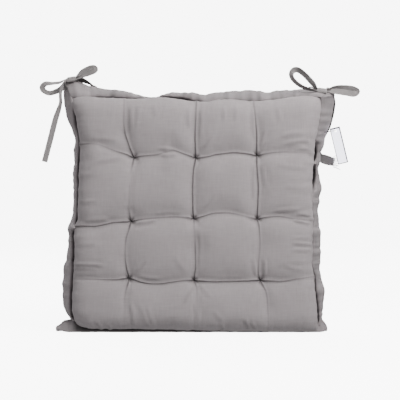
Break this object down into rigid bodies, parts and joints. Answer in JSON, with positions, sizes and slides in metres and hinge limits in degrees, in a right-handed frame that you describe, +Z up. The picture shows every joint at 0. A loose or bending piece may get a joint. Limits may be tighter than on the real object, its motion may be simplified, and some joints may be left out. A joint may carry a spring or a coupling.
{
  "type": "chair seat pad",
  "caption": "Square tufted cotton chair seat pad with a soft folded flange all round, tie tapes tied in bows at the two back corners, and a blank hang tag on a thread.",
  "frame": {"origin": "on the floor under the middle of the pad as it stands on its front edge: halfway between the outermost points of the left and right flanges, and in the plane of the edge seam", "axes": "+Z up, from the pad's front edge to its tied back edge; -Y the way the sitting side faces; +Y out of the side that lies on the chair; +X to the right seen from the sitting side"},
  "size_m": [0.4666, 0.0685, 0.3926],
  "materials": {
    "cover": "matt plain-weave cotton",
    "wadding": "matt fibre filling",
    "tuft_thread": "matt thread",
    "tie_tape": "matt woven tape",
    "tag_card": "smooth matt card",
    "tag_thread": "thin dark thread"
  },
  "bodies": {
    "pad": {"back_panel": "cover", "filling_pad": "wadding", "flange_bottom": "cover", "flange_left": "cover", "flange_right": "cover", "flange_top": "cover", "front_panel": "cover", "left_bow_knot": "tie_tape", "left_tie_back": "tie_tape", "left_tie_front": "tie_tape", "right_bow_knot": "tie_tape", "right_tie_back": "tie_tape", "right_tie_front": "tie_tape", "tag_thread": "tag_thread", "tuft_stitch_1_1": "tuft_thread", "tuft_stitch_1_2": "tuft_thread", "tuft_stitch_1_3": "tuft_thread", "tuft_stitch_2_1": "tuft_thread", "tuft_stitch_2_2": "tuft_thread", "tuft_stitch_2_3": "tuft_thread", "tuft_stitch_3_1": "tuft_thread", "tuft_stitch_3_2": "tuft_thread", "tuft_stitch_3_3": "tuft_thread"},
    "tag": {"hang_tag": "tag_card"}
  },
  "joints": [
    {"name": "tag_swing", "type": "hinge", "parent": "pad", "child": "tag", "pos_m": [0.2066, -0.006, 0.2972], "axis": [0, -1, 0], "range_deg": [-33, 60]}
  ]
}
